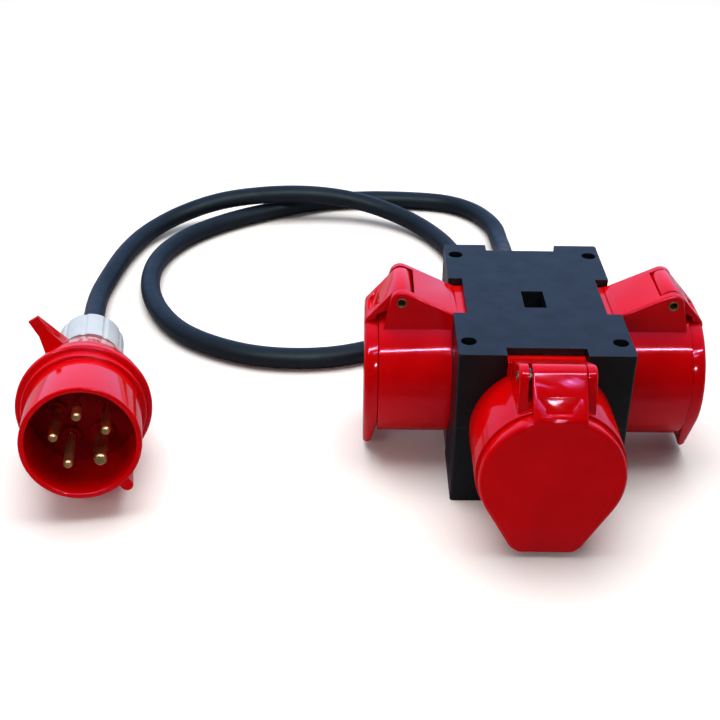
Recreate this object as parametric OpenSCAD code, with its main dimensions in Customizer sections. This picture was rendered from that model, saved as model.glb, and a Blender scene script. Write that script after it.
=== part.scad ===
// Portable three-way power distributor: a two-part black body with three red
// 5-pin outlets (left, right, front), each with a sprung lid, and a rubber lead
// to a 5-pin plug. Millimetres. The origin is the middle of the body's underside,
// X runs to the right outlet, Y to the lead's entry and Z up.

/* [Body] */
// Width of the body, left to right
body_w = 90; // [90:1:96]
// Depth of the body, front to rear
body_d = 130; // [130:1:136]
// Height of the body
body_h = 91; // [91:1:94]
// Height of the outlet axes and of the joint between the two shells
axis_h = 47; // [46.5:0.5:47.5]
// Thickness of the side walls
wall = 3.5; // [3:0.1:3.5]
// Thickness of the top and bottom plates
plate = 4; // [3:0.1:4]
// Radius of the body's upright edges
edge_r = 1.5; // [1:0.5:3]
// Width of the notch in the middle of each plate edge
notch_w = 41; // [41:1:44]
// Depth of that notch
notch_d = 7.6; // [7:0.1:7.6]
// Sides of the pocket in the top plate, left to right and front to rear
pocket = [12, 19.4]; // [8:1:20]
// Depth of that pocket
pocket_deep = 12; // [8:1:14]
// Distance of that pocket's middle in front of the body's middle
pocket_ahead = 4.2; // [3:0.1:5]

/* [Outlets] */
// Outer radius of the collar round each outlet
collar_r = 37.5; // [37:0.1:38]
// Inner radius of the collar, which takes the plug's shroud
collar_in = 31.9; // [31.9:0.1:32.2]
// How far the collar stands out of the body
collar_l = 39.2; // [39.2:0.1:42]
// Radius of the insulating insert inside the collar
insert_r = 27.2; // [27:0.1:27.3]
// Radius of the circle that the contacts stand on
contact_pcd_r = 14; // [14:0.1:14.2]

/* [Lids] */
// Depth of a lid, from its seat on the collar to its outer face
lid_deep = 7.6; // [7:0.1:9]
// Radius of a lid
lid_r = 36.3; // [36:0.1:37]
// How far the pull lip reaches below the outlet axis
lid_drop = 44; // [42:0.5:44]
// Distance of the hinge pin from the body's side
pin_a = 27.4; // [27:0.1:28]
// Height of the hinge pin above the outlet axis
pin_z = 48.4; // [48:0.1:49]
// Radius of the knuckle and of the ears round the pin
knuckle_r = 6; // [6:0.1:6.2]
// Radius of the hinge pin
pin_r = 2.6; // [2.2:0.1:2.8]

/* [Plug] */
// Inner radius of the plug's shroud
shroud_in = 28; // [27.9:0.1:28.2]
// Outer radius of the plug's shroud
shroud_r = 31; // [30.8:0.1:31.2]
// Radius of the collar that the plug rests on
flange_r = 36.6; // [35:0.1:36.6]
// Radius of the phase and neutral pins
phase_pin_r = 2.5; // [2.4:0.05:2.5]
// Radius of the earth pin
earth_pin_r = 3.5; // [3.4:0.05:3.5]
// Middle of the shroud's rim
plug_pos = [-236, -81, 45]; // [-300:1:100]
// Turn of the plug about the upright, from straight ahead
plug_turn = 10; // [0:1:20]
// Upward tilt of the shroud
plug_tilt = 9.6; // [9.6:0.1:11]
// Turn of the plug about its own axis, which brings the key to the lower right
plug_roll = 39.5; // [0:0.5:90]

/* [Lead] */
// Radius of the rubber lead
lead_r = 6.75; // [6:0.05:6.75]
// Radius of each insulated core
core_r = 1.4; // [1:0.1:1.5]

/* [Hidden] */

$fn = 64;
eps = 0.02;
round_fn = 32;
black = [0.13, 0.15, 0.18];
red = [0.80, 0.03, 0.04];
dark_red = [0.55, 0.02, 0.03];
brass = [0.80, 0.66, 0.36];
steel = [0.70, 0.71, 0.73];
rubber = [0.12, 0.13, 0.15];
pale = [0.85, 0.87, 0.88];
LEFT = [-body_w / 2, 0, 180];
RIGHT = [body_w / 2, 0, 0];
FRONT = [0, -body_d / 2, -90];
REAR = [0, body_d / 2, 90];

// Shell screws: places, recess, clearance and depths
screw_x = body_w / 2 - 6.1;
screw_y = body_d / 2 - 13.7;
recess_r = 4.1;
head_r = 3.6;
head_l = 3;
shank_r = 2;
seat_z = axis_h + 15;
tip_z = axis_h - 19;
boss_r = 5.6;
tip_gap = 0.5;
socket_r = 1.7;
socket_l = 1.5;

// Outlet opening in the shells, the barrel that fills it and the flange behind it
barrel_r = 34.8;
barrel_back = -16;
opening_r = barrel_r + 0.2;
holder_r = 38;
holder_a = [-8, -3.7];
rib_a = [-10.4, -8.4];
rib_w = 76;
tongue_w = 40;
tongue_z = [-(axis_h - plate) + 0.2, body_h - plate - axis_h - 0.4];
face_step = 0.8;
floor_a = [-12, -8];
skirt_in = 31.1;
base_r = 31;
tower_r = 22;
tower_back = -30;
insert_face = 37;
keyway_w = 7;
keyway_r = 36.6;
keyway_h = 10;
contact_in = [2.55, 3.55];
chamber_r = [3.9, 4.9];
mouth_r = [3.2, 4.2];
mouth_l = 4;
tube_back = -6;
contact_back = -31;
grub_r = 1.6;
grub_a = -24;
fix_r = 29;
fix_shank_r = 1.4;
fix_head_r = 2.5;
fix_head_l = 2;
fix_slot_w = 0.8;
fix_slot_l = 1;

// Hinge block, its slot and the lid's knuckle, across the outlet's own t axis
hinge_half = 18.8;
hinge_back = -3;
hinge_foot = 20;
ear_foot = 28;
through = 30;
slot_t = [-14.2, 13.9];
knuckle_t = [-12.4, 13.6];
slot_back = 20.6;
slot_floor = 38.4;
ear_slope = 25.4;
ear_front = 11.3;
arm_slope = 49;
pin_clear = 0.06;
pin_hollow = 2.05;
spring_pocket_r = 4.5;
spring_pocket_l = 9.4;
lid_a = collar_l + 0.2;
lid_face = lid_a + lid_deep;
lid_skin = 3;
lid_rim = 2.5;
lip_corner = 8;
seal_in = 30.4;
seal_out = 33.7;

// Lead entry: nut, seal and body, measured outwards from the body's rear
entry_bore = 6.9;
thread_r = 12.4;
hex_r = 18;
hex_l = 7;
cap_r = 15.6;
cap_a = [9, 36];
cap_cone = 22;
cap_end_r = 9.5;
cap_flutes = 6;
flute_r = 2.6;
flute_out = 1.6;
neck_r = 10;
seal_a = [10, 26];
gland_a = [-12, 20];
locknut_a = [-9, -4];
locknut_r = 17;
recess_a = -4;
recess_in = 30;

// Plug, measured along its axis from the rim, backwards being negative
shroud_l = 40;
flange_x = [-50.5, -46];
step_x = -41;
step_r = 33.4;
spigot_x = -58;
shell_x = [-100, -51];
shell_r = 34;
shell_back_r = 23;
tail_x = -138;
tail_r = 15;
seal_x = -128;
seal_r = 12;
collar_neck_r = 17;
nut_x = [-150, -113];
nut_r = 20;
nut_end_x = -157;
nut_end_r = 12;
lead_play = 0.25;
lead_end_x = -92;
lug_x = [-98, -73, -70.5];
lug_turn = 168.5;
lug_tip_r = 51;
lug_half = 3;
pin_tip_x = -1.8;
pin_step_x = -36;
pin_step = 0.7;
pin_back_x = -74;
key_r = 3.1;
tower_x = -70;
tower_out_r = 21;
grub_x = tower_x + 8;
grub_top_r = 20.5;
clamp_x = -140.5;
clamp_r = 13;
cone_in = [19, 30];
nut_step = 6;
nut_flutes = 10;
nut_flute_out = 1.9;
core_pcd_r = 3.6;

// Route of the lead's middle line, from the gland round the coil to the plug
lead_route = [
  [0, 101, 47], [0, 118, 46.5], [2, 150, 40], [7, 185, 27], [11, 220, 14.5], [12, 250, 8],
  [10, 280, 7.1], [-2, 308, 6.8], [-24, 326, 6.8], [-56, 332, 6.8], [-92, 332, 6.8],
  [-128, 325, 6.8], [-165, 307, 6.8], [-200, 283, 6.8], [-227, 253, 6.8], [-242, 217, 6.8],
  [-243, 177, 6.8], [-232, 138, 6.8], [-210, 104, 6.8], [-178, 82, 6.8], [-145, 73, 6.8],
  [-108, 76, 6.8], [-73, 93, 6.8], [-45, 120, 6.8], [-27, 155, 6.8], [-20, 195, 6.8],
  [-26, 234, 7.1], [-42, 269, 7.8], [-68, 294, 11.5], [-100, 306, 17], [-135, 308, 20.8],
  [-172, 305, 20.8], [-206, 299, 17.5], [-235, 285, 12], [-257, 259, 8], [-268, 225, 7.1],
  [-273, 188, 6.8], [-275, 155, 6.8],
];
plug_axis = [sin(plug_turn) * cos(plug_tilt), -cos(plug_turn) * cos(plug_tilt), sin(plug_tilt)];
function on_plug(x) = plug_pos + x * plug_axis;
lead_tail = 20;

// ---- Curves and tubes ----
function unit(v) = v / norm(v);
function spline_at(a, b, c, d, t) =
  0.5 * (2 * b + (c - a) * t + (2 * a - 5 * b + 4 * c - d) * t * t
    + (3 * b - a - 3 * c + d) * t * t * t);
function spline(p, n) = let (last = len(p) - 1) [
  for (i = [0 : last - 1], j = [0 : n - 1])
    spline_at(p[max(i - 1, 0)], p[i], p[i + 1], p[min(i + 2, last)], j / n),
  p[last]
];
function along(p, i, first, end) = let (last = len(p) - 1)
  i == 0 ? first : i == last ? end : unit(p[i + 1] - p[i - 1]);
function ring(c, dir, r, sides, up) =
  let (s = unit(cross(dir, up)), u = cross(s, dir))
  [for (k = [0 : sides - 1]) c + r * (cos(360 * k / sides) * s + sin(360 * k / sides) * u)];

// A tube along the points p, with its two end faces square to first and end
module tube(p, r, sides, first, end, up = [0, 0, 1]) {
  last = len(p) - 1;
  points = [for (i = [0 : last]) each ring(p[i], along(p, i, first, end), r, sides, up)];
  walls = [
    for (i = [0 : last - 1], k = [0 : sides - 1])
      let (a = i * sides + k, b = i * sides + (k + 1) % sides)
        each [[a, b, b + sides], [a, b + sides, a + sides]]
  ];
  caps = [[for (k = [sides - 1 : -1 : 0]) k], [for (k = [0 : sides - 1]) last * sides + k]];
  polyhedron(points, concat(walls, caps));
}

// ---- Placing ----
// Outlet frame: X out of the body's side, Y across it and Z up from the outlet axis
module at_side(side) {
  translate([side[0], side[1], axis_h]) rotate([0, 0, side[2]]) children();
}
// Plug frame: X out of the shroud's mouth, with the key straight down
module at_plug() {
  translate(plug_pos) rotate([0, 0, plug_turn - 90]) rotate([0, -plug_tilt, 0])
    rotate([plug_roll, 0, 0]) children();
}
// A cylinder along X from a0 to a1
module rod(a0, a1, r, r2 = undef) {
  translate([a0, 0, 0]) rotate([0, 90, 0])
    cylinder(h = a1 - a0, r1 = r, r2 = is_undef(r2) ? r : r2);
}
module pipe(a0, a1, r, inner) {
  difference() {
    rod(a0, a1, r);
    rod(a0 - 1, a1 + 1, inner);
  }
}
// A cylinder along Y from t0 to t1
module bar(t0, t1, r) {
  translate([0, t1, 0]) rotate([90, 0, 0]) cylinder(h = t1 - t0, r = r);
}
// A side outline (X, Z) given thickness along Y
module slab(t0, t1) {
  translate([0, t1, 0]) rotate([90, 0, 0]) linear_extrude(t1 - t0) children();
}
// Places of the five contacts: 0 is the earth, straight down, then round by 72 degrees
module at_contact(k) {
  rotate([72 * k, 0, 0]) translate([0, 0, -contact_pcd_r]) children();
}

// ---- Body shells ----
module body_outline(inset, r) {
  w = body_w - 2 * inset;
  d = body_d - 2 * inset;
  square([w - 2 * r, d], center = true);
  square([w, d - 2 * r], center = true);
  for (x = [-1, 1], y = [-1, 1])
    translate([x * (w / 2 - r), y * (d / 2 - r)]) circle(r, $fn = round_fn);
}
module at_screws() {
  for (x = [-1, 1], y = [-1, 1]) translate([x * screw_x, y * screw_y, 0]) children();
}
module side_cuts() {
  for (side = [LEFT, RIGHT, FRONT, REAR]) at_side(side) {
    rod(barrel_back - 1, 1, opening_r);
    translate([rib_a[1], -tongue_w / 2 - 0.2, -axis_h + plate])
      cube([-rib_a[1] + 1, tongue_w + 0.4, body_h - 2 * plate]);
    translate([-notch_d, -notch_w / 2, -axis_h - 1]) cube([notch_d + 1, notch_w, body_h + 2]);
  }
}
module shell(z0, z1, floor0, floor1) {
  difference() {
    union() {
      difference() {
        translate([0, 0, z0]) linear_extrude(z1 - z0) body_outline(0, edge_r);
        translate([0, 0, floor0]) linear_extrude(floor1 - floor0) body_outline(wall, edge_r);
      }
      at_screws() translate([0, 0, z0]) cylinder(h = z1 - z0, r = boss_r);
      for (side = [LEFT, RIGHT, FRONT, REAR]) at_side(side)
        translate([rib_a[0], -rib_w / 2, z0 - axis_h]) cube([rib_a[1] - rib_a[0], rib_w, z1 - z0]);
    }
    side_cuts();
  }
}
module pocket_block(grow, top) {
  translate([-pocket[0] / 2 - grow, -pocket_ahead - pocket[1] / 2 - grow, body_h - pocket_deep - grow])
    cube([pocket[0] + 2 * grow, pocket[1] + 2 * grow, top]);
}
module upper_shell() color(black) difference() {
  union() {
    shell(axis_h, body_h, axis_h - 1, body_h - plate);
    pocket_block(2, pocket_deep);
  }
  pocket_block(0, pocket_deep + 1);
  at_screws() {
    translate([0, 0, seat_z]) cylinder(h = body_h, r = recess_r);
    cylinder(h = body_h, r = shank_r + 0.1);
  }
}
module lower_shell() color(black) difference() {
  shell(0, axis_h, plate, axis_h + 1);
  at_screws() translate([0, 0, tip_z]) cylinder(h = body_h, r = shank_r);
}
module shell_screws() color(steel) at_screws() difference() {
  union() {
    translate([0, 0, tip_z + tip_gap]) cylinder(h = seat_z - tip_z - tip_gap + eps, r = shank_r);
    translate([0, 0, seat_z]) cylinder(h = head_l, r = head_r);
  }
  translate([0, 0, seat_z + head_l - socket_l]) cylinder(h = socket_l + 1, r = socket_r, $fn = 6);
}

// ---- Lead entry at the rear ----
module entry_plate() color(black) at_side(REAR) difference() {
  union() {
    rod(holder_a[0], face_step, barrel_r);
    rod(holder_a[0], holder_a[1], holder_r);
    translate([holder_a[0], -tongue_w / 2, tongue_z[0]])
      cube([face_step - holder_a[0], tongue_w, tongue_z[1] - tongue_z[0]]);
  }
  rod(holder_a[0] - 1, recess_a, recess_in);
  rod(recess_a - 1, face_step + 1, thread_r);
}
module gland_body() color(black) at_side(REAR) difference() {
  union() {
    rod(gland_a[0], gland_a[1], thread_r);
    translate([face_step, 0, 0]) rotate([0, 90, 0]) cylinder(h = hex_l, r = hex_r, $fn = 6);
  }
  rod(gland_a[0] - 1, gland_a[1] + 1, entry_bore);
  rod(seal_a[0], gland_a[1] + 1, neck_r);
}
module gland_locknut() color(black) at_side(REAR) difference() {
  translate([locknut_a[0], 0, 0]) rotate([0, 90, 0])
    cylinder(h = locknut_a[1] - locknut_a[0], r = locknut_r, $fn = 6);
  rod(locknut_a[0] - 1, locknut_a[1] + 1, thread_r);
}
module gland_seal() color(rubber) at_side(REAR) pipe(seal_a[0], seal_a[1], neck_r, lead_r);
module gland_nut() color(black) at_side(REAR) difference() {
  union() {
    rod(cap_a[0], cap_cone, cap_r);
    rod(cap_cone, cap_a[1], cap_r, cap_end_r);
  }
  rod(cap_a[0] - 1, gland_a[1], thread_r);
  rod(gland_a[1] - 1, seal_a[1], neck_r);
  rod(seal_a[1] - 1, cap_a[1] + 1, lead_r + lead_play);
  for (k = [0 : cap_flutes - 1]) rotate([360 * k / cap_flutes, 0, 0])
    translate([0, 0, cap_r + flute_out]) rod(cap_a[0] - 1, cap_a[1] + 1, flute_r);
}

// ---- Outlets ----
ear_top = [pin_a - knuckle_r * sin(ear_slope), pin_z + knuckle_r * cos(ear_slope)];
ear_nose = [pin_a + knuckle_r * cos(ear_front), pin_z + knuckle_r * sin(ear_front)];
function roof_z(a) = ear_top[1] - (ear_top[0] - a) * tan(ear_slope);
module hinge_side() {
  polygon([
    [0, hinge_foot], [0, roof_z(0)], ear_top, [pin_a, pin_z], ear_nose,
    [ear_nose[0] + (ear_nose[1] - ear_foot) * tan(ear_front), ear_foot], [collar_l - 1, hinge_foot],
  ]);
  translate([pin_a, pin_z]) circle(knuckle_r);
}
// The part of an outlet that stands out of the body: the collar and the hinge block
module outlet_housing() color(red) difference() {
  union() {
    rod(0, collar_l, collar_r);
    slab(-hinge_half, hinge_half) hinge_side();
  }
  rod(-1, collar_l + 1, collar_in);
  translate([-1, -keyway_w / 2, -keyway_r]) cube([collar_l + 2, keyway_w, keyway_h]);
  translate([slot_back, slot_t[0], slot_floor]) cube([collar_l, slot_t[1] - slot_t[0], collar_r]);
  translate([pin_a, 0, pin_z]) bar(-through, through, pin_r);
}
// The part inside the body: the barrel with its floor, the flange that the shells hold,
// the tongue that fills the opening, and the back end of the hinge block's roof
module outlet_barrel() color(red) difference() {
  union() {
    rod(barrel_back, 0, barrel_r);
    rod(holder_a[0], holder_a[1], holder_r);
    translate([holder_a[0], -tongue_w / 2, tongue_z[0]])
      cube([-holder_a[0], tongue_w, tongue_z[1] - tongue_z[0]]);
    slab(-hinge_half, hinge_half) polygon([
      [hinge_back, hinge_foot], [hinge_back, roof_z(hinge_back)], [0, roof_z(0)], [0, hinge_foot],
    ]);
  }
  rod(floor_a[1], 1, collar_in);
  rod(floor_a[0] - 1, floor_a[1] + 1, insert_r);
  rod(barrel_back - 1, floor_a[0], skirt_in);
  for (t = [-1, 1]) translate([0, t * fix_r, 0]) rod(floor_a[0] - 1, floor_a[1] - 1, fix_shank_r);
}
// Bores for the five contacts, opening to the wider mouths in the insert's face
module contact_bores() {
  for (k = [0 : 4]) let (s = k == 0 ? 1 : 0) at_contact(k) {
    rod(tower_back - 1, insert_face - mouth_l, chamber_r[s]);
    rod(insert_face - mouth_l - 1, insert_face + 1, mouth_r[s]);
  }
}
module outlet_insert() color(dark_red) difference() {
  rod(floor_a[0], insert_face, insert_r);
  contact_bores();
}
module terminal_block() color(dark_red) difference() {
  union() {
    rod(barrel_back, floor_a[0], base_r);
    rod(tower_back, barrel_back + eps, tower_r);
  }
  contact_bores();
  for (k = [0 : 4]) at_contact(k) translate([grub_a, 0, -tower_r]) cylinder(h = tower_r, r = grub_r);
  for (t = [-1, 1]) translate([0, t * fix_r, 0]) rod(barrel_back - 1, floor_a[0] + 1, fix_shank_r);
}
// A contact: a tube for the pin in front, solid behind, where its screw holds a core
module contact(s) {
  difference() {
    rod(contact_back, insert_face - mouth_l, chamber_r[s]);
    rod(tube_back, insert_face, contact_in[s]);
  }
}
module contacts() color(brass) for (k = [0 : 4]) at_contact(k) contact(k == 0 ? 1 : 0);
module terminal_screws() color(steel) for (k = [0 : 4]) let (s = k == 0 ? 1 : 0) at_contact(k)
  translate([grub_a, 0, -tower_r + contact_pcd_r + 1])
    cylinder(h = tower_r - contact_pcd_r - 1 - chamber_r[s], r = grub_r);
module insert_screws() color(steel) for (t = [-1, 1]) translate([0, t * fix_r, 0]) difference() {
  union() {
    rod(barrel_back - fix_head_l, barrel_back, fix_head_r);
    rod(barrel_back - eps, floor_a[1] - 1, fix_shank_r);
  }
  translate([barrel_back - fix_head_l - 1, -fix_slot_w / 2, -fix_head_r - 1])
    cube([fix_slot_l + 1, fix_slot_w, 2 * fix_head_r + 2]);
}
module hinge_pin() color(steel) translate([pin_a, 0, pin_z]) difference() {
  bar(-hinge_half - 0.4, hinge_half + 0.4, pin_r);
  bar(-through, through, pin_hollow);
}

// ---- Lids ----
lid_taper = 30;
lip_t = (lid_r - lip_corner - (lid_drop - lip_corner) * sin(lid_taper)) / cos(lid_taper);
module lid_outline() {
  circle(lid_r);
  c = [lip_t, lip_corner - lid_drop];
  side = [lid_r * cos(lid_taper), -lid_r * sin(lid_taper)];
  foot = c + lip_corner * [cos(lid_taper), -sin(lid_taper)];
  polygon([side, foot, c, [lip_t, -lid_drop], [-lip_t, -lid_drop], [-c[0], c[1]],
    [-foot[0], foot[1]], [-side[0], side[1]]]);
  for (s = [-1, 1]) translate([s * c[0], c[1]]) circle(lip_corner);
}
// The lid's arm from the side, from the knuckle's top down to the outer face
arm_top = [pin_a + knuckle_r * sin(arm_slope), pin_z + knuckle_r * cos(arm_slope)];
module arm_side() {
  polygon([
    arm_top, [lid_face, arm_top[1] - (lid_face - arm_top[0]) * tan(arm_slope)],
    [lid_face, 26], [lid_face - lid_skin, 26], [collar_l + 1.3, 36], [collar_l + 1.3, 38.4],
    [pin_a + 2.6, pin_z - 5.4], [pin_a, pin_z],
  ]);
  translate([pin_a, pin_z]) circle(knuckle_r);
}
// Thumb scoop in the arm's sloping face
module scoop() {
  translate([arm_top[0], 0, arm_top[1]]) rotate([0, arm_slope, 0]) translate([9.6, 0, -1])
    linear_extrude(3) {
      polygon([[0, -11.6], [6.6, -6.4], [6.6, 6.4], [0, 11.6]]);
      translate([6.5, -5.2]) square([3, 10.4]);
      for (s = [-1, 1]) translate([6.6, s * 3.6]) circle(2.9);
    }
}
module lid() color(red) difference() {
  union() {
    translate([lid_a, 0, 0]) rotate([90, 0, 90]) linear_extrude(lid_deep) lid_outline();
    slab(knuckle_t[0], knuckle_t[1]) arm_side();
  }
  rod(lid_a - 5, lid_face - lid_skin, lid_r - lid_rim);
  slab(-40, 40) polygon([[lid_a - 1, -35.5], [lid_a, -35.5], [lid_face - 2.4, -43.2],
    [lid_face - 2.4, -60], [lid_a - 1, -60]]);
  translate([pin_a, 0, pin_z]) {
    bar(-through, through, pin_r + pin_clear);
    bar(knuckle_t[0] - 1, knuckle_t[0] + spring_pocket_l, spring_pocket_r);
  }
  scoop();
}
module lid_seal() color(rubber) pipe(collar_l + 0.05, lid_face - lid_skin, seal_out, seal_in);
// Torsion spring round the pin, inside the knuckle's pocket
module lid_spring() color(steel) {
  turns = 6;
  wire_r = 0.45;
  coil_r = 3.65;
  steps = 14;
  t0 = slot_t[0] + 0.7;
  pitch = 1.45;
  path = [for (i = [0 : turns * steps]) let (a = 360 * i / steps)
    [pin_a + coil_r * cos(a), t0 + pitch * i / steps, pin_z + coil_r * sin(a)]];
  tube(path, wire_r, 6, [0, 0, 1], [0, 0, 1], [0, 1, 0]);
}

// ---- Lead and cores ----
module lead() color(rubber) {
  route = concat(lead_route, [on_plug(-205), on_plug(nut_end_x)]);
  tube(spline(route, 2), lead_r, 12, [0, 1, 0], plug_axis);
}
module lead_end_in_body() color(rubber)
  at_side(REAR) rod(-lead_tail, cap_a[1], lead_r);
module lead_end_in_plug() color(rubber) at_plug() rod(nut_end_x, lead_end_x, lead_r);

// One core: a spine from the lead forward to the front outlet, with an arm to each side
// outlet, then the short run from the lead's other end to its pin in the plug.
// k is its contact, x the place of its spine, z the height of its spine.
module core(k, x, z) {
  arm_z = z + (k == 0 ? 0.5 : -0.5);
  a = 72 * k - 90;
  t = contact_pcd_r * cos(a);
  h = contact_pcd_r * sin(a) + axis_h;
  start = [core_pcd_r * cos(a), body_d / 2 - lead_tail, axis_h + core_pcd_r * sin(a)];
  end_x = body_w / 2 + contact_back;
  end_y = -body_d / 2 - contact_back;
  front = [start, start - [0, 4, 0], [x, 32, z], [x, 20, z], [x, 0, z], [x, -20, z],
    [t, end_y + 4, h], [t, end_y, h]];
  tube(spline(front, 2), core_r, 6, [0, -1, 0], [0, -1, 0]);
  for (s = [-1, 1])
    tube(spline([[x, s * t, arm_z], [x + s * 2, s * t, arm_z], [s * (end_x - 3), s * t, h],
      [s * end_x, s * t, h]], 2), core_r, 6, [s, 0, 0], [s, 0, 0]);
  run = [[lead_end_x, core_pcd_r], [lead_end_x + 4, core_pcd_r], [pin_back_x - 6, contact_pcd_r],
    [pin_back_x, contact_pcd_r]];
  at_plug() tube(spline([for (p = run) [p[0], p[1] * cos(a), p[1] * sin(a)]], 2), core_r, 6,
    [1, 0, 0], [1, 0, 0]);
}
module core_l1() color([0.35, 0.20, 0.12]) core(1, 7.2, axis_h - 1);
module core_l2() color([0.10, 0.10, 0.10]) core(2, 4, axis_h + 7);
module core_l3() color([0.50, 0.50, 0.52]) core(3, -4, axis_h + 13);
module core_neutral() color([0.10, 0.30, 0.75]) core(4, -8, axis_h - 9.2);
module core_earth() color([0.35, 0.62, 0.15]) core(0, 0.5, axis_h - 14);

// ---- Plug ----
module plug_shroud() color(red) at_plug() difference() {
  union() {
    rod(spigot_x, 0, shroud_r);
    rod(flange_x[1] - eps, step_x, step_r);
    rod(flange_x[0], flange_x[1], flange_r);
    translate([0, 0, -shroud_r - key_r + 0.7]) rod(step_x - 1, -1, key_r);
    translate([step_x - 1, -key_r, -shroud_r - 2]) cube([-step_x, 2 * key_r, 3]);
  }
  rod(-shroud_l, 1, shroud_in);
  rod(spigot_x - 1, -shroud_l, shroud_in + 1);
}
// Lug that a socket's catch holds: a flared plate in front of a rib that runs back along the shell
module lug() {
  rotate([lug_turn - 180, 0, 0]) {
    translate([lug_x[1], 0, 0]) rotate([90, 0, 90]) linear_extrude(lug_x[2] - lug_x[1])
      polygon([[-6.5, 28], [-lug_half, 41], [-lug_half, lug_tip_r], [lug_half, lug_tip_r],
        [lug_half, 41], [6.5, 28]]);
    slab(-lug_half, lug_half) polygon([[lug_x[2], 28], [lug_x[2], lug_tip_r], [lug_x[1], lug_tip_r],
      [lug_x[0], shell_back_r + 1], [lug_x[0], shell_back_r - 2.5]]);
  }
}
module plug_back_shell() color(red) at_plug() difference() {
  union() {
    rod(-60, shell_x[1], shell_r);
    rod(shell_x[0], -60, shell_back_r, shell_r);
    rod(nut_x[1] - 1, shell_x[0] + eps, collar_neck_r);
    rod(tail_x, nut_x[1], tail_r);
    lug();
  }
  rod(spigot_x, 0, shroud_r);
  rod(shell_x[0] + 4, spigot_x + eps, cone_in[0], cone_in[1]);
  rod(tail_x - 1, shell_x[0] + 5, lead_r + lead_play);
  rod(tail_x - 1, seal_x, seal_r);
}
module plug_insert() color(dark_red) at_plug() difference() {
  union() {
    rod(-shroud_l - 8, -shroud_l, shroud_in + 1);
    rod(tower_x, -shroud_l - 7, tower_out_r);
    for (k = [0 : 4]) at_contact(k) rod(-shroud_l - 1, -shroud_l + 3, k == 0 ? 6.4 : 5.2);
  }
  for (k = [0 : 4]) at_contact(k) {
    rod(pin_step_x, -shroud_l + 5, k == 0 ? earth_pin_r : phase_pin_r);
    rod(tower_x - 5, pin_step_x, pin_step + (k == 0 ? earth_pin_r : phase_pin_r));
    translate([grub_x, 0, contact_pcd_r - through]) cylinder(h = through - contact_pcd_r, r = grub_r);
  }
}
module plug_pin(r) {
  rod(pin_back_x, pin_step_x, r + pin_step);
  rod(pin_step_x - eps, pin_tip_x - 1, r);
  rod(pin_tip_x - 1, pin_tip_x, r, r - 0.9);
}
module plug_phase_pins() color(brass) at_plug() for (k = [1 : 4]) at_contact(k) plug_pin(phase_pin_r);
module plug_earth_pin() color(brass) at_plug() at_contact(0) plug_pin(earth_pin_r);
module plug_terminal_screws() color(steel) at_plug() for (k = [0 : 4])
  let (r = pin_step + (k == 0 ? earth_pin_r : phase_pin_r)) at_contact(k)
    translate([grub_x, 0, contact_pcd_r - grub_top_r])
      cylinder(h = grub_top_r - contact_pcd_r - r, r = grub_r);
module plug_clamp_ring() color(pale) at_plug() pipe(nut_x[0] + nut_step, clamp_x, clamp_r, lead_r);
module plug_gland_seal() color(rubber) at_plug() pipe(clamp_x, seal_x, seal_r, lead_r);
module plug_gland_nut() color(pale) at_plug() difference() {
  union() {
    rod(nut_x[0], nut_x[1], nut_r);
    rod(nut_end_x, nut_x[0], nut_end_r, nut_r);
  }
  rod(nut_x[0] + nut_step, nut_x[1] + 1, tail_r);
  rod(nut_x[1] - 2, nut_x[1] + 1, collar_neck_r + 0.3);
  rod(nut_end_x - 1, nut_x[0] + nut_step + 1, lead_r + lead_play);
  for (k = [0 : nut_flutes - 1]) rotate([360 * k / nut_flutes, 0, 0])
    translate([0, 0, nut_r + nut_flute_out]) rod(nut_end_x, nut_x[1] + 1, flute_r);
}

upper_shell();
lower_shell();
shell_screws();
entry_plate();
gland_body();
gland_locknut();
gland_seal();
gland_nut();
at_side(LEFT) outlet_housing();  // outlet_housing_left
at_side(RIGHT) outlet_housing();  // outlet_housing_right
at_side(FRONT) outlet_housing();  // outlet_housing_front
at_side(LEFT) outlet_barrel();  // outlet_barrel_left
at_side(RIGHT) outlet_barrel();  // outlet_barrel_right
at_side(FRONT) outlet_barrel();  // outlet_barrel_front
at_side(LEFT) outlet_insert();  // outlet_insert_left
at_side(RIGHT) outlet_insert();  // outlet_insert_right
at_side(FRONT) outlet_insert();  // outlet_insert_front
at_side(LEFT) terminal_block();  // terminal_block_left
at_side(RIGHT) terminal_block();  // terminal_block_right
at_side(FRONT) terminal_block();  // terminal_block_front
at_side(LEFT) contacts();  // contacts_left
at_side(RIGHT) contacts();  // contacts_right
at_side(FRONT) contacts();  // contacts_front
at_side(LEFT) terminal_screws();  // terminal_screws_left
at_side(RIGHT) terminal_screws();  // terminal_screws_right
at_side(FRONT) terminal_screws();  // terminal_screws_front
at_side(LEFT) insert_screws();  // insert_screws_left
at_side(RIGHT) insert_screws();  // insert_screws_right
at_side(FRONT) insert_screws();  // insert_screws_front
at_side(LEFT) hinge_pin();  // hinge_pin_left
at_side(RIGHT) hinge_pin();  // hinge_pin_right
at_side(FRONT) hinge_pin();  // hinge_pin_front
at_side(LEFT) lid_spring();  // lid_spring_left
at_side(RIGHT) lid_spring();  // lid_spring_right
at_side(FRONT) lid_spring();  // lid_spring_front
at_side(LEFT) lid();  // lid_left
at_side(RIGHT) lid();  // lid_right
at_side(FRONT) lid();  // lid_front
at_side(LEFT) lid_seal();  // lid_seal_left
at_side(RIGHT) lid_seal();  // lid_seal_right
at_side(FRONT) lid_seal();  // lid_seal_front
core_l1();
core_l2();
core_l3();
core_neutral();
core_earth();
lead();
lead_end_in_body();
lead_end_in_plug();
plug_shroud();
plug_back_shell();
plug_insert();
plug_phase_pins();
plug_earth_pin();
plug_terminal_screws();
plug_clamp_ring();
plug_gland_seal();
plug_gland_nut();
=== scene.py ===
import math

import bmesh
import bpy
from mathutils import Matrix, Vector


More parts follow.
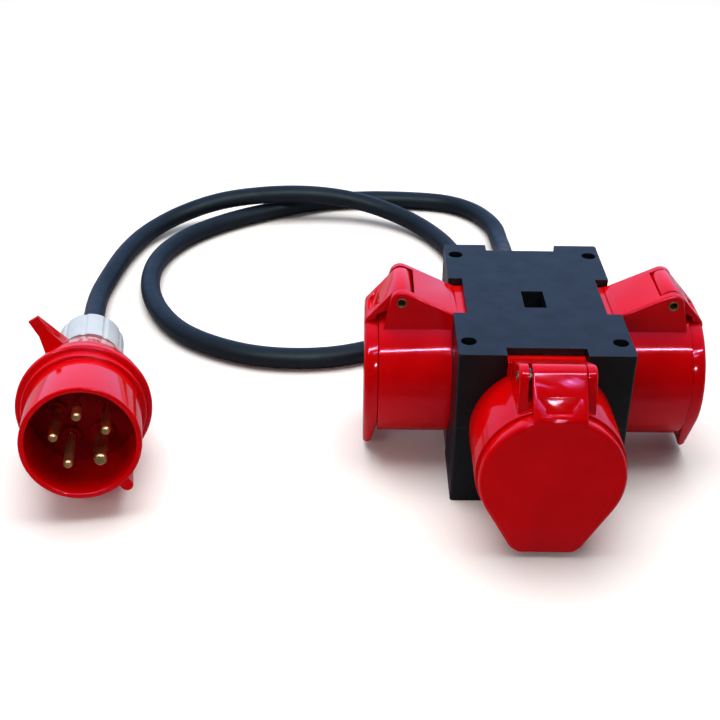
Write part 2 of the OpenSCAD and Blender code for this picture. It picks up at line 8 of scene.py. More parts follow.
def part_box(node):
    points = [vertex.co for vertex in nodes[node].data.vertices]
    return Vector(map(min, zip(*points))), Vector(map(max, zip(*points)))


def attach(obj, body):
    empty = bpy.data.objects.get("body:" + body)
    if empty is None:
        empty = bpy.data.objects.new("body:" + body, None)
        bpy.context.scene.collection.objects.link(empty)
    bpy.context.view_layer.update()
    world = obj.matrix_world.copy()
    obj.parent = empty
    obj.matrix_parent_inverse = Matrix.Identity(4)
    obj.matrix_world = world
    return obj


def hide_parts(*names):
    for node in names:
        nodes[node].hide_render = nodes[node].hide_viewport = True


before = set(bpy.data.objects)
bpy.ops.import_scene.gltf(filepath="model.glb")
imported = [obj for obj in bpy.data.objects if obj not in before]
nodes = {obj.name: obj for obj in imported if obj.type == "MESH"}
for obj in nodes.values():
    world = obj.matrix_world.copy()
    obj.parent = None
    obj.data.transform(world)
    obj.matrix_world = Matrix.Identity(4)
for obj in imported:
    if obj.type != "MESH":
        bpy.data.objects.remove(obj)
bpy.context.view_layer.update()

MM = 0.001
TO_METRES = Matrix.Scale(MM, 4)
SIDES = ("left", "right", "front")


# ---- Camera ----
# The photograph's view: the camera's place in metres, and the degrees by which it looks down and to the right
# and is rolled. Its sensor's width and its lens are in millimetres.
CAMERA_AT = (-0.096975, -0.580259, 0.390736)
CAMERA_DOWN, CAMERA_RIGHT, CAMERA_ROLL = 30.504, 0.280, 0.806
SENSOR, LENS = 36.0, 59.55


def turn(degrees, axis):
    """A rotation about one axis."""
    return Matrix.Rotation(math.radians(degrees), 4, axis)


def camera():
    data = bpy.data.cameras.new("camera")
    data.sensor_width, data.lens = SENSOR, LENS
    data.clip_start, data.clip_end = 0.01, 20.0
    ob = bpy.data.objects.new("camera", data)
    aim = turn(-CAMERA_RIGHT, "Z") @ turn(90 - CAMERA_DOWN, "X") @ turn(CAMERA_ROLL, "Z")
    ob.matrix_world = Matrix.Translation(CAMERA_AT) @ aim
    bpy.context.collection.objects.link(ob)
    bpy.context.scene.camera = ob


camera()


# ---- Places, from the frame ----
# OUTLET and PLUG turn a piece's own millimetres into the model's metres. X points out of the body at an
# outlet, and out of the open end at the plug, whose turn, tilt and roll are in degrees.
BODY_LOW, BODY_HIGH = (Vector(c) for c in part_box("upper_shell"))
AXIS_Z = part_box("lower_shell")[1][2]
OUTLET = {
    "left": Matrix.Translation((BODY_LOW.x, 0, AXIS_Z)) @ turn(180, "Z") @ TO_METRES,
    "right": Matrix.Translation((BODY_HIGH.x, 0, AXIS_Z)) @ TO_METRES,
    "front": Matrix.Translation((0, BODY_LOW.y, AXIS_Z)) @ turn(-90, "Z") @ TO_METRES,
}
PLUG_TURN, PLUG_TILT, PLUG_ROLL = 10, 9.6, 39.5
PLUG_AT = Vector((-236, -81, 45))
PLUG = (Matrix.Translation(PLUG_AT * MM) @ turn(PLUG_TURN - 90, "Z") @ turn(-PLUG_TILT, "Y")
        @ turn(PLUG_ROLL, "X") @ TO_METRES)


# ---- Materials ----
# How many times each pattern of a finish repeats in a metre
CLOUD, SPECK, RUB, SHINE, GRAIN, RIPPLE = 38.0, 900.0, 420.0, 75.0, 2600.0, 110.0
# How much rougher a fully worn edge is
WORN_ROUGHER = 0.18


def add(tree, kind, **settings):
    """A new node of a material or world."""
    made = tree.nodes.new(kind)
    for key, value in settings.items():
        setattr(made, key, value)
    return made


def noise(tree, where, scale, detail=3.0, rough=0.55):
    made = add(tree, "ShaderNodeTexNoise")
    made.inputs["Scale"].default_value = scale
    made.inputs["Detail"].default_value = detail
    made.inputs["Roughness"].default_value = rough
    tree.links.new(where, made.inputs["Vector"])
    return made.outputs["Fac"]


def spread(tree, value, low, high, out_low=0.0, out_high=1.0):
    """value, with its run from low to high spread over out_low to out_high."""
    made = add(tree, "ShaderNodeMapRange")
    for name, number in (("From Min", low), ("From Max", high), ("To Min", out_low), ("To Max", out_high)):
        made.inputs[name].default_value = number
    tree.links.new(value, made.inputs["Value"])
    return made.outputs["Result"]


def mix(tree, share, a, b):
    """A colour between a and b. A mix node's factor and two colours are its inputs 0, 6 and 7."""
    made = add(tree, "ShaderNodeMix", data_type="RGBA")
    for index, value in ((0, share), (6, a), (7, b)):
        if isinstance(value, bpy.types.NodeSocket):
            tree.links.new(value, made.inputs[index])
        else:
            made.inputs[index].default_value = (*value, 1.0)
    return made.outputs[2]


def combine(tree, operation, a, b):
    """The sum or product of two values, held between 0 and 1."""
    made = add(tree, "ShaderNodeMath", operation=operation, use_clamp=True)
    for i, value in enumerate((a, b)):
        if isinstance(value, bpy.types.NodeSocket):
            tree.links.new(value, made.inputs[i])
        else:
            made.inputs[i].default_value = value
    return made.outputs[0]


def bump(tree, height, millimetres, under):
    """The surface under with a relief of that height on it."""
    made = add(tree, "ShaderNodeBump")
    made.inputs["Distance"].default_value = millimetres * MM
    made.inputs["Strength"].default_value = 1.0
    tree.links.new(height, made.inputs["Height"])
    tree.links.new(under, made.inputs["Normal"])
    return made.outputs["Normal"]


def finish_of(name, colour, deep, worn, rough, grain, wave=0.0, edge=0.4, metal=0.0, tint=(1, 1, 1),
              ior=1.5):
    """A moulded or turned surface. The colour drifts between colour and deep, and worn shows along edges.
    rough is its lowest and highest roughness, grain the height of its fine texture and wave that of its
    slow ripple, both in millimetres, and edge the radius in millimetres that its edges are eased by.
    tint colours what it mirrors."""
    mat = bpy.data.materials.new(name)
    mat.use_nodes = True
    tree = mat.node_tree
    shader = tree.nodes["Principled BSDF"]
    where = add(tree, "ShaderNodeTexCoord").outputs["Object"]
    cloud = noise(tree, where, CLOUD, 4.0)
    speck = noise(tree, where, SPECK, 2.0)
    eased = add(tree, "ShaderNodeBevel", samples=4)
    eased.inputs["Radius"].default_value = edge * MM
    dot = add(tree, "ShaderNodeVectorMath", operation="DOT_PRODUCT")
    tree.links.new(eased.outputs["Normal"], dot.inputs[0])
    tree.links.new(add(tree, "ShaderNodeNewGeometry").outputs["Normal"], dot.inputs[1])
    corner = spread(tree, dot.outputs["Value"], 0.985, 0.80)
    rub = combine(tree, "MULTIPLY", corner, spread(tree, noise(tree, where, RUB, 3.0), 0.42, 0.66))
    body = mix(tree, spread(tree, cloud, 0.35, 0.68), deep, colour)
    body = mix(tree, spread(tree, speck, 0.60, 0.78, 0.0, 0.25), body, worn)
    tree.links.new(mix(tree, rub, body, worn), shader.inputs["Base Color"])
    shine = spread(tree, noise(tree, where, SHINE, 5.0), 0.3, 0.7, *rough)
    roughness = combine(tree, "ADD", shine, combine(tree, "MULTIPLY", rub, WORN_ROUGHER))
    tree.links.new(roughness, shader.inputs["Roughness"])
    normal = bump(tree, noise(tree, where, GRAIN, 2.0), grain, eased.outputs["Normal"])
    if wave:
        normal = bump(tree, noise(tree, where, RIPPLE, 2.0), wave, normal)
    tree.links.new(normal, shader.inputs["Normal"])
    shader.inputs["Metallic"].default_value = metal
    shader.inputs["IOR"].default_value = ior
    shader.inputs["Specular Tint"].default_value = (*tint, 1.0)
    return mat


RED = finish_of("red_plastic", (0.64, 0.0005, 0.001), (0.56, 0.0003, 0.0005), (0.74, 0.015, 0.02),
                (0.06, 0.11), 0.0015, wave=0.012, tint=(1.0, 0.30, 0.55), ior=1.45)
DARK_RED = finish_of("dark_red_plastic", (0.26, 0.001, 0.001), (0.19, 0.0005, 0.0005), (0.42, 0.015, 0.02),
                     (0.36, 0.48), 0.004, tint=(1.0, 0.1, 0.2), ior=1.3)
BLACK = finish_of("black_plastic", (0.002, 0.004, 0.008), (0.0015, 0.003, 0.006), (0.030, 0.042, 0.060),
                  (0.36, 0.50), 0.012, wave=0.01, edge=0.5, tint=(0.92, 0.94, 0.95), ior=1.36)
GLAND = finish_of("black_gland_plastic", (0.010, 0.012, 0.015), (0.006, 0.007, 0.009), (0.05, 0.055, 0.06),
                  (0.34, 0.48), 0.006, ior=1.35)
PALE = finish_of("pale_plastic", (0.52, 0.57, 0.60), (0.45, 0.49, 0.52), (0.66, 0.71, 0.74),
                 (0.30, 0.42), 0.004, edge=0.6)
RUBBER = finish_of("lead_rubber", (0.007, 0.011, 0.018), (0.004, 0.007, 0.011), (0.035, 0.042, 0.052),
                   (0.42, 0.56), 0.02, wave=0.05, tint=(0.72, 0.88, 1.0), ior=1.32)
SEAL = finish_of("seal_rubber", (0.020, 0.021, 0.022), (0.012, 0.013, 0.014), (0.07, 0.07, 0.07),
                 (0.6, 0.75), 0.01)
STEEL = finish_of("steel", (0.56, 0.57, 0.58), (0.40, 0.41, 0.42), (0.78, 0.78, 0.77),
                  (0.24, 0.40), 0.003, metal=1.0, edge=0.2)
BRASS = finish_of("brass", (0.80, 0.52, 0.26), (0.58, 0.36, 0.16), (0.92, 0.72, 0.46),
                  (0.22, 0.38), 0.003, metal=1.0, edge=0.25)
# painted shade: brass darkened all over to stand in for the shade inside the hollow hinge pins
SHADE_DARKENED_BRASS = finish_of("shade_darkened_brass", (0.34, 0.24, 0.11), (0.14, 0.10, 0.05), (0.62, 0.48, 0.26),
                       (0.30, 0.50), 0.004, metal=1.0, edge=0.25)
# The sheaths of the five cores: colour and deep
CORES = {
    "core_l1": ((0.16, 0.06, 0.025), (0.11, 0.04, 0.018)),
    "core_l2": ((0.02, 0.02, 0.02), (0.012, 0.012, 0.012)),
    "core_l3": ((0.24, 0.24, 0.25), (0.17, 0.17, 0.18)),
    "core_neutral": ((0.02, 0.07, 0.42), (0.012, 0.045, 0.30)),
    "core_earth": ((0.10, 0.38, 0.04), (0.62, 0.50, 0.02)),
}


# ---- Mesh help ----
# Millimetres within which points count as one
TINY = 1e-4


def arc(centre, radius, start, end, steps):
    """Points on an arc from start to end degrees, both included."""
    angles = (math.radians(start + (end - start) * i / steps) for i in range(steps + 1))
    return [(centre[0] + radius * math.cos(a), centre[1] + radius * math.sin(a)) for a in angles]


def mark(bm, sharp):
    """Smooth faces, with the edges over sharp degrees kept crisp."""
    for face in bm.faces:
        face.smooth = True
    for edge in bm.edges:
        edge.smooth = len(edge.link_faces) == 2 and edge.calc_face_angle(0) < math.radians(sharp)


def piece(name, bm, body, node, mat, sharp=32, place=None):
    """Finish bm as a piece that rides on body and stands for node."""
    if place is not None:
        bm.transform(place)
    bmesh.ops.recalc_face_normals(bm, faces=bm.faces)
    mark(bm, sharp)
    mesh = bpy.data.meshes.new(name)
    bm.to_mesh(mesh)
    bm.free()
    mesh.materials.append(mat)
    ob = bpy.data.objects.new(name, mesh)
    bpy.context.collection.objects.link(ob)
    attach(ob, body)
    if node:
        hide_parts(node)
    return ob


def paint(node, mat):
    """Give a CAD node that shows as it is a finish of its own."""
    ob = nodes[node]
    if not ob.material_slots:
        ob.data.materials.append(None)
    for place in ob.material_slots:
        place.link = "OBJECT"
        place.material = mat


# ---- Lead ----
# The lead's route in millimetres, from the gland round the loose turns to behind the plug
LEAD_ROUTE = [
    (0, 101, 47), (0, 118, 46.5), (2, 150, 40), (7, 185, 27), (11, 220, 14.5), (12, 250, 8),
    (10, 280, 7.1), (-2, 308, 6.8), (-24, 326, 6.8), (-56, 332, 6.8), (-92, 332, 6.8),
    (-128, 325, 6.8), (-165, 307, 6.8), (-200, 283, 6.8), (-227, 253, 6.8), (-242, 217, 6.8),
    (-243, 177, 6.8), (-232, 138, 6.8), (-210, 104, 6.8), (-178, 82, 6.8), (-145, 73, 6.8),
    (-108, 76, 6.8), (-73, 93, 6.8), (-45, 120, 6.8), (-27, 155, 6.8), (-20, 195, 6.8),
    (-26, 234, 7.1), (-42, 269, 7.8), (-68, 294, 11.5), (-100, 306, 17), (-135, 308, 20.8),
    (-172, 305, 20.8), (-206, 299, 17.5), (-235, 285, 12), (-257, 259, 8), (-268, 225, 7.1),
    (-273, 188, 6.8), (-275, 155, 6.8),
]
LEAD_R = 6.75
# Where the route goes on, on the plug's axis: two points behind the plug and the jacket's end inside it
LEAD_IN_PLUG = (-205, -157, -92)


def spline(points, steps):
    """A Catmull-Rom curve through points, steps to a span."""
    ends = [points[0], *points, points[-1]]
    line = []
    for a, b, c, d in zip(ends, ends[1:], ends[2:], ends[3:]):
        for i in range(steps):
            t = i / steps
            line.append(0.5 * (2 * b + (c - a) * t + (2 * a - 5 * b + 4 * c - d) * t ** 2
                               + (3 * b - a - 3 * c + d) * t ** 3))
    return line + [points[-1]]


def lead():
    """The lead's jacket. It returns the piece, its length and where it leaves the gland."""
    route = [Vector(p) * MM for p in LEAD_ROUTE] + [PLUG @ Vector((x, 0, 0)) for x in LEAD_IN_PLUG]
    line = spline(route, 6)
    curve = bpy.data.curves.new("lead_jacket", "CURVE")
    curve.dimensions = "3D"
    curve.bevel_depth, curve.bevel_resolution = LEAD_R * MM, 10
    curve.use_fill_caps = True
    path = curve.splines.new("POLY")
    path.points.add(len(line) - 1)
    for point, at in zip(path.points, line):
        point.co = (*at, 1.0)
    curve.materials.append(RUBBER)
    ob = bpy.data.objects.new("lead_jacket", curve)
    bpy.context.collection.objects.link(ob)
    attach(ob, "root")
    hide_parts("lead", "lead_end_in_plug")
    return ob, sum((b - a).length for a, b in zip(line, line[1:])), line[0]


LEAD, LEAD_LENGTH, LEAD_EXIT = lead()


# ---- Solids ----
# In millimetres in an outlet's own frame: X out of the body, Y across it, Z up from its axis
def prism(outline, low, high, axis="Y", ease=0.0, steps=3):
    """A closed outline given thickness from low to high, with the edges of its two faces rounded by ease.
    The outline's points are (x, z) where the axis is Y, and (y, z) where it is X."""
    bm = bmesh.new()

    def at(p, depth):
        return (p[0], depth, p[1]) if axis == "Y" else (depth, p[0], p[1])

    rims = [[bm.verts.new(at(p, depth)) for p in outline] for depth in (low, high)]
    faces = [bm.faces.new(rims[0]), bm.faces.new(reversed(rims[1]))]
    for i in range(len(outline)):
        j = (i + 1) % len(outline)
        bm.faces.new((rims[0][j], rims[0][i], rims[1][i], rims[1][j]))
    bmesh.ops.recalc_face_normals(bm, faces=bm.faces)
    if ease:
        edges = {edge for face in faces for edge in face.edges}
        bmesh.ops.bevel(bm, geom=list(edges), offset=ease, segments=steps, profile=0.5, affect="EDGES")
    return bm


def rod(low, high, radius, centre=(0, 0), axis="X", sides=64):
    """A cylinder along X or Y, whose centre is the place of its axis across that."""
    outline = [(centre[0] + radius * math.cos(a), centre[1] + radius * math.sin(a))
               for a in (2 * math.pi * i / sides for i in range(sides))]
    return prism(outline, low, high, axis)


def carved(base, *steps):
    """base after a row of (operation, tool) steps."""
    def hold(bm):
        mesh = bpy.data.meshes.new("carving")
        bm.to_mesh(mesh)
        bm.free()
        ob = bpy.data.objects.new("carving", mesh)
        bpy.context.collection.objects.link(ob)
        return ob

    whole = hold(base)
    tools = []
    for operation, tool in steps:
        change = whole.modifiers.new("change", "BOOLEAN")
        change.operation, change.solver = operation, "EXACT"
        change.object = hold(tool)
        tools.append(change.object)
    view = bpy.context.evaluated_depsgraph_get()
    made = bmesh.new()
    made.from_mesh(whole.evaluated_get(view).data)
    for ob in (whole, *tools):
        mesh = ob.data
        bpy.data.objects.remove(ob)
        bpy.data.meshes.remove(mesh)
    bmesh.ops.dissolve_degenerate(made, dist=TINY, edges=made.edges)
    return made


# ---- Lids ----
# Rim and face, then the outline: radius, lip below the axis, radius of its corners and angle of its tapers
LID_BACK, LID_FACE = 39.4, 47.0
LID_R, LID_DROP, LIP_CORNER, LID_TAPER = 36.3, 44.0, 8.0, 30.0
# Inside radius of the skirt, and how far out the lid's ceiling is
SKIRT_IN, LID_CEILING = 33.8, 44.0
# Height at which the lip starts to thin, and by how much for each millimetre below it
LIP_FROM, LIP_RISE = -35.5, 5.2 / 7.7
# Radii of the two rounded edges, and a little step at the skirt's mouth
FOOT_EASE, BROW_EASE, MOUTH_EASE = 0.45, 2.6, 0.2
# Hinge pin's axis, the knuckle's radius and its two ends, and the bores for pin and spring
PIN_A, PIN_Z, KNUCKLE_R = 27.4, 48.4, 6.0
KNUCKLE_T = (-12.4, 13.6)
PIN_BORE, SPRING_BORE, SPRING_T = 2.66, 4.5, (-14, -3)
# The arm: degrees by which its slope drops, radius of its bend into the face, and degrees round the knuckle
# at which its outline starts
ARM_SLOPE, ARM_BLEND, ARM_START = 49.0, 5.0, 295.7
# The arm's underside, from the face back to the knuckle
ARM_UNDER = [(LID_CEILING + 0.6, 27), (LID_CEILING + 0.6, 34.4),
             (LID_BACK + 1.1, 36), (LID_BACK + 1.1, 38.4)]
# The thumb scoop: half of its outline, its cutter's height, how far down the slope the outline's zero is,
# and the degrees by which its floor is steeper than the slope
SCOOP_HALF = [(11.8, 0), (6.6, -6.2)] + arc((4.6, -7.8), 1.9, 0, -90, 5)
SCOOP_HIGH, SCOOP_DOWN, SCOOP_DIP = 4, 10.4, 11


def lid_outline(inset):
    """The lid's outline (y, z), moved inwards by inset: a round top, two tapers and a flat lip."""
    taper = math.radians(LID_TAPER)
    across = (LID_R - LIP_CORNER - (LID_DROP - LIP_CORNER) * math.sin(taper)) / math.cos(taper)
    height = LIP_CORNER - LID_DROP
    small = LIP_CORNER - inset
    return (arc((0, 0), LID_R - inset, -LID_TAPER, 180 + LID_TAPER, 72)
            + arc((-across, height), small, 180 + LID_TAPER, 270, 10)
            + arc((across, height), small, 270, 360 - LID_TAPER, 10))


def lid_plate():
    """The lid without its arm: skirt, wall, rounded rim, face and the lip, which thins towards its tip."""
    bm = bmesh.new()
    full = lid_outline(0)
    back = [LID_BACK + max(0, LIP_FROM - z) * LIP_RISE for _, z in full]
    foot = [min(FOOT_EASE, (LID_FACE - b) * 0.45) for b in back]
    brow = [min(BROW_EASE, LID_FACE - b - f) for b, f in zip(back, foot)]

    def ring(points, depths):
        return [bm.verts.new((a, y, z)) for (y, z), a in zip(points, depths)]

    def round_at(radius):
        ratio = [radius / math.hypot(*p) for p in full]
        return [(p[0] * k, p[1] * k) for p, k in zip(full, ratio)]

    def inset_by(amounts):
        shrunk = {a: lid_outline(a) for a in set(amounts)}
        return [shrunk[a][i] for i, a in enumerate(amounts)]

    count = len(full)
    rings = [ring(round_at(radius), [depth] * count) for radius, depth in (
        (SKIRT_IN, LID_CEILING), (SKIRT_IN, LID_BACK + MOUTH_EASE),
        (SKIRT_IN + MOUTH_EASE, LID_BACK), (-LIP_FROM, LID_BACK))]
    for angle in (0, 30, 60, 90):
        rise, shift = 1 - math.sin(math.radians(90 - angle)), 1 - math.sin(math.radians(angle))
        rings.append(ring(inset_by([f * shift for f in foot]), [b + f * rise for b, f in zip(back, foot)]))
    for angle in (0, 15, 30, 45, 60, 75, 90):
        rise, shift = 1 - math.sin(math.radians(angle)), 1 - math.cos(math.radians(angle))
        rings.append(ring(inset_by([r * shift for r in brow]), [LID_FACE - r * rise for r in brow]))
    for low, high in zip(rings, rings[1:]):
        for i in range(count):
            j = (i + 1) % count
            bm.faces.new((low[i], low[j], high[j], high[i]))
    bm.faces.new(reversed(rings[0]))
    bm.faces.new(rings[-1])
    bmesh.ops.remove_doubles(bm, verts=bm.verts, dist=TINY)
    bmesh.ops.recalc_face_normals(bm, faces=bm.faces)
    return bm


def lid_arm():
    """The arm from the knuckle down to the face, which its slope meets in a soft bend."""
    slope = math.radians(ARM_SLOPE)
    top = (PIN_A + KNUCKLE_R * math.sin(slope), PIN_Z + KNUCKLE_R * math.cos(slope))
    face = LID_FACE - 0.02
    foot = top[1] - (face - top[0]) * math.tan(slope)
    reach = ARM_BLEND * math.tan((math.pi / 2 - slope) / 2)
    bend = arc((face - ARM_BLEND, foot - reach), ARM_BLEND, 90 - ARM_SLOPE, 0, 6)
    knuckle = arc((PIN_A, PIN_Z), KNUCKLE_R, ARM_START, 90 - ARM_SLOPE, 30)
    return prism(knuckle + bend + [(face, ARM_UNDER[0][1])] + ARM_UNDER, *KNUCKLE_T, ease=0.7)


def scoop():
    """The thumb scoop's cutter: flared at the top, round at the foot, and deeper towards it."""
    slope = math.radians(ARM_SLOPE)
    other = [(-y, z) for y, z in reversed(SCOOP_HALF)]
    bm = prism(SCOOP_HALF + other, 0, SCOOP_HIGH, "X", ease=0.9)
    top = (PIN_A + KNUCKLE_R * math.sin(slope), 0, PIN_Z + KNUCKLE_R * math.cos(slope))
    middle = Matrix.Translation((0, 0, -SCOOP_DOWN))
    bm.transform(Matrix.Translation(top) @ turn(ARM_SLOPE - 90, "Y") @ middle @ turn(SCOOP_DIP, "Y"))
    return bm


def lids():
    """One lid's mesh, made once and placed at each outlet."""
    pin = (PIN_A, PIN_Z)
    bm = carved(lid_plate(), ("UNION", lid_arm()), ("DIFFERENCE", scoop()),
                ("DIFFERENCE", rod(-30, 30, PIN_BORE, pin, "Y")),
                ("DIFFERENCE", rod(*SPRING_T, SPRING_BORE, pin, "Y")))
    for side in SIDES:
        piece(f"lid_{side}_moulding", bm.copy(), f"lid_{side}", f"lid_{side}", RED,
              place=OUTLET[side])
    bm.free()


lids()


# ---- Eased copies of CAD nodes ----
# Millimetres within which a CAD mesh's points are joined, degrees under which its faces are merged, and
# degrees over which an edge may be eased
WELD, FLAT, CREASE = 0.003, 0.4, 35
# Outlets: half the width of hinge block and roof, the collar's length and two radii, and the heights above
# which an edge belongs to an ear or to the roof
BLOCK_HALF, COLLAR_L, COLLAR_R, COLLAR_IN = 18.8, 39.2, 37.5, 31.9
EAR_FROM, ROOF_FROM = 33, 39.7
# Plug: the edges of its shells as (radius of the rounding, steps, place on the axis, radius there)
SHROUD_EDGES = ((0.9, 4, 0, 31), (1.2, 4, 0, 28), (1.1, 3, -41, 33.4), (1.6, 4, -46, 36.6),
                (1.2, 3, -50.5, 36.6))
SHELL_EDGES = ((1.8, 4, -100, 23),)
# Plug pins: the middle and half the length of the stretch that their tips are in, and the plane behind
# which a pin is painted the insert's dark red, as painted shade
TIP_AT, TIP_HALF, BOSS_FACE = -1.8, 1.2, -35.9


def eased(node, name, body, slot, mat, place, rules, sharp=32):
    """A copy of a node with some of its edges rounded. place is the frame that the rules are in; a rule is
    (radius, steps, test), and its test takes an edge's two ends and the normals of its two faces."""
    bm = bmesh.new()
    bm.from_mesh(nodes[node].data)
    bm.transform(place.inverted())
    bmesh.ops.remove_doubles(bm, verts=bm.verts, dist=WELD)
    bmesh.ops.dissolve_limit(bm, angle_limit=math.radians(FLAT), verts=bm.verts, edges=bm.edges)
    for radius, steps, test in rules:
        bm.normal_update()
        picked = [e for e in bm.edges
                  if len(e.link_faces) == 2 and e.calc_face_angle(0) > math.radians(CREASE)
                  and e.is_convex and test(e.verts[0].co, e.verts[1].co, *(f.normal for f in e.link_faces))]
        bmesh.ops.bevel(bm, geom=picked, offset=radius, segments=steps, profile=0.5, affect="EDGES",
                        clamp_overlap=False)
    return piece(name, bm, body, node, mat, sharp=sharp, place=place)


def near(value, wanted, by=0.05):
    """Whether value is within by of wanted."""
    return abs(value - wanted) < by


def on_circle(x, radius):
    """The test for the edges of a circle about the axis, x along it."""
    return lambda a, b, m, n: all(near(p.x, x) and near(math.hypot(p.y, p.z), radius) for p in (a, b))


def housings():
    """Outlet housings and barrels, with the ears, the collar's two rims and the roof eased."""
    def ear(a, b, m, n):
        off_pin = min(math.hypot(p.x - PIN_A, p.z - PIN_Z) for p in (a, b)) > 4
        side = near(abs(a.y), BLOCK_HALF) and near(abs(b.y), BLOCK_HALF) and max(abs(m.y), abs(n.y)) > 0.99
        return side and off_pin and min(a.z, b.z) > EAR_FROM and max(a.x, b.x) > 0.1

    def roof(a, b, m, n):
        return all(near(abs(p.y), BLOCK_HALF) and p.z > ROOF_FROM for p in (a, b)) and abs(a.x - b.x) > 1

    for side in SIDES:
        eased(f"outlet_housing_{side}", f"outlet_{side}_moulding", "root", "red_housing", RED, OUTLET[side],
              [(1.5, 4, ear), (0.5, 2, on_circle(COLLAR_L, COLLAR_R)),
               (0.5, 2, on_circle(COLLAR_L, COLLAR_IN))])
        eased(f"outlet_barrel_{side}", f"outlet_{side}_barrel_moulding", "root", "red_housing", RED,
              OUTLET[side], [(1.5, 4, roof)])


housings()


def plug():
    """The plug's shells and pins. Each pin's shoulder, which stands a little proud of its boss, is brass
    painted the boss's dark red: painted shade, for the shade that falls on it deep in the shroud."""
    def tip(a, b, m, n):
        return all(near(p.x, TIP_AT, TIP_HALF) for p in (a, b)) and near(a.x, b.x)

    shells = [eased(node, name, "root", "red_plug", RED, PLUG,
                    [(ease, steps, on_circle(x, radius)) for ease, steps, x, radius in edges])
              for node, name, edges in (("plug_shroud", "plug_shroud_moulding", SHROUD_EDGES),
                                        ("plug_back_shell", "plug_shell_moulding", SHELL_EDGES))]
    pins = [eased(node, f"{node}_turned", "root", "brass", BRASS, PLUG, [(0.35, 3, tip)])
            for node in ("plug_phase_pins", "plug_earth_pin")]
    for ob in pins:
        ob.data.materials.append(DARK_RED)
        from_plug = PLUG.inverted() @ ob.matrix_world
        # painted shade: faces behind the boss's face get the insert's dark red instead of brass
        for face in ob.data.polygons:
            face.material_index = int((from_plug @ face.center).x < BOSS_FACE)
    return shells + pins


(plug() + ["plug_insert", "plug_terminal_screws", "plug_clamp_ring", "plug_gland_seal",
                              "plug_gland_nut"])


# ---- Finishes of the CAD nodes ----
FINISHES = {
    "upper_shell": BLACK, "lower_shell": BLACK, "entry_plate": BLACK, "shell_screws": STEEL,
    "gland_body": GLAND, "gland_locknut": GLAND, "gland_nut": GLAND, "gland_seal": SEAL,
    "lead_end_in_body": RUBBER,
    "plug_insert": DARK_RED, "plug_terminal_screws": STEEL, "plug_clamp_ring": PALE,
    "plug_gland_seal": SEAL, "plug_gland_nut": PALE,
}
for side in SIDES:
    FINISHES.update({
        f"outlet_insert_{side}": DARK_RED, f"terminal_block_{side}": DARK_RED,
        f"contacts_{side}": BRASS, f"lid_seal_{side}": SEAL,
        f"terminal_screws_{side}": STEEL, f"insert_screws_{side}": STEEL, f"hinge_pin_{side}": SHADE_DARKENED_BRASS,
        f"lid_spring_{side}": STEEL,
    })
for name, mat in FINISHES.items():
    paint(name, mat)
for name, (colour, deep) in CORES.items():
    paint(name, finish_of(f"{name}_sheath", colour, deep, tuple(min(1, c * 1.6) for c in colour),
                          (0.35, 0.5), 0.004))


# ---- Floor and light ----
# Floor: pale to the camera, greyer in the light it passes on, and where it is mirrored dark in front of the
# object and mid grey beside and behind it, from DARK_BEFORE to GREY_BEHIND metres along Y
FLOOR_PALE = (0.93, 0.915, 0.90), (0.95, 0.935, 0.92)
FLOOR_LIT = (0.61, 0.58, 0.57)
FLOOR_MIRRORED = (0.02, 0.02, 0.02), (0.30, 0.27, 0.31)
DARK_BEFORE, GREY_BEHIND = -0.14, -0.10
FLOOR_HALF = 4.0
# Background: the direction in which it brightens, then its darkest and brightest colours as they are seen
# and, bluish, as they are mirrored
SKY_TOWARDS = (0.0, 0.87, 0.50)
SKY_PLAIN = (0.05, 0.05, 0.05), (0.93, 0.94, 0.95)
SKY_MIRRORED = (0.045, 0.05, 0.06), (0.55, 0.84, 1.47)
# Lamps: the middle of what they light, a warm white, and how far a glint's lamp is from the lid
MIDDLE = (-0.08, 0.05, 0.05)
WARM = (1.0, 0.95, 0.92)
GLINT_AWAY = 1.5


def floor():
    mat = bpy.data.materials.new("pale_floor")
    mat.use_nodes = True
    tree = mat.node_tree
    shader = tree.nodes["Principled BSDF"]
    where = add(tree, "ShaderNodeTexCoord").outputs["Object"]
    pale = mix(tree, noise(tree, where, 4.0), *FLOOR_PALE)
    depth = add(tree, "ShaderNodeSeparateXYZ")
    tree.links.new(where, depth.inputs["Vector"])
    mirrored = mix(tree, spread(tree, depth.outputs["Y"], DARK_BEFORE, GREY_BEHIND), *FLOOR_MIRRORED)
    ray = add(tree, "ShaderNodeLightPath").outputs
    lit = mix(tree, ray["Is Diffuse Ray"], pale, FLOOR_LIT)
    tree.links.new(mix(tree, ray["Is Glossy Ray"], lit, mirrored), shader.inputs["Base Color"])
    shader.inputs["Roughness"].default_value = 0.6
    bm = bmesh.new()
    bmesh.ops.create_grid(bm, x_segments=8, y_segments=8, size=FLOOR_HALF)
    mesh = bpy.data.meshes.new("floor")
    bm.to_mesh(mesh)
    bm.free()
    mesh.materials.append(mat)
    ob = bpy.data.objects.new("floor", mesh)
    bpy.context.collection.objects.link(ob)


def softbox(name, at, aim, size, watts, colour, unseen):
    """A lamp of that size that faces aim. unseen is the visibility it gives up: with visible_glossy it
    lights surfaces and isn't mirrored in them, and with visible_diffuse it is only mirrored."""
    data = bpy.data.lights.new(name, "AREA")
    data.shape = "RECTANGLE"
    data.size, data.size_y = size
    data.energy, data.color = watts, colour
    ob = bpy.data.objects.new(name, data)
    away = (Vector(at) - Vector(aim)).normalized()
    ob.matrix_world = Matrix.Translation(at) @ away.to_track_quat("Z", "Y").to_matrix().to_4x4()
    setattr(ob, unseen, False)
    bpy.context.collection.objects.link(ob)


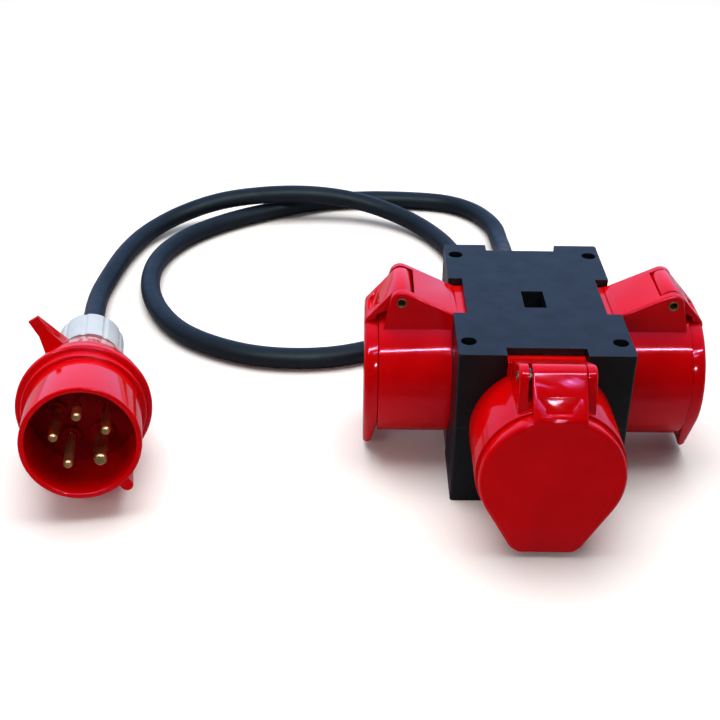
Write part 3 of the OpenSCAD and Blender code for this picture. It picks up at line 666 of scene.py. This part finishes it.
def glint(name, down, across, tip, size, watts, colour):
    """A lamp that CAMERA_AT sees mirrored on the front lid's arm, down its slope and across it in
    millimetres, where the surface is steeper than the arm by tip degrees. It stays there in every view."""
    slope, lean = math.radians(ARM_SLOPE), math.radians(ARM_SLOPE + tip)
    spot = (PIN_A + KNUCKLE_R * math.sin(slope) + down * math.cos(slope), across,
            PIN_Z + KNUCKLE_R * math.cos(slope) - down * math.sin(slope))
    at = OUTLET["front"] @ Vector(spot)
    facing = (OUTLET["front"].to_3x3() @ Vector((math.sin(lean), 0, math.cos(lean)))).normalized()
    to_camera = (Vector(CAMERA_AT) - at).normalized()
    mirrored = 2 * facing.dot(to_camera) * facing - to_camera
    softbox(name, at + GLINT_AWAY * mirrored, at, size, watts, colour, "visible_diffuse")


def lights():
    """A pale studio, bright above and behind and dim in front. The top and fill lamps light the object, and
    the narrow strip high in front and the three glints are what its red surfaces mirror."""
    world = bpy.data.worlds.new("studio")
    world.use_nodes = True
    tree = world.node_tree
    lean = add(tree, "ShaderNodeVectorMath", operation="DOT_PRODUCT")
    lean.inputs[1].default_value = SKY_TOWARDS
    tree.links.new(add(tree, "ShaderNodeTexCoord").outputs["Generated"], lean.inputs[0])
    height = spread(tree, lean.outputs["Value"], -0.1, 0.75)
    plain = mix(tree, height, *SKY_PLAIN)
    mirrored = mix(tree, height, *SKY_MIRRORED)
    glossy = add(tree, "ShaderNodeLightPath").outputs["Is Glossy Ray"]
    tree.links.new(mix(tree, glossy, plain, mirrored), tree.nodes["Background"].inputs["Color"])
    tree.nodes["Background"].inputs["Strength"].default_value = 1.0
    bpy.context.scene.world = world
    softbox("top", (-0.1, 0.25, 1.5), MIDDLE, (1.6, 1.2), 27, WARM, "visible_glossy")
    softbox("strip", (0.2, -1.21, 1.85), MIDDLE, (3.0, 0.03), 72, (0.95, 1.0, 0.94), "visible_diffuse")
    softbox("fill", (-0.42, -0.50, 0.30), (-0.24, -0.1, 0.05), (0.3, 0.2), 0.8, WARM, "visible_glossy")
    glint("arm_glint", 2.6, 0.9, 0, (0.42, 0.065), 1.7, (0.4, 0.5, 1.0))
    glint("arm_spark", 2.8, -3.7, 0, (0.05, 0.03), 0.3, (0.5, 0.9, 1.0))
    glint("scoop_glint", 13, 1.0, SCOOP_DIP, (0.16, 0.07), 5.5, (0.6, 1.0, 0.75))
    bpy.context.scene.view_settings.view_transform = "Standard"


floor()
lights()
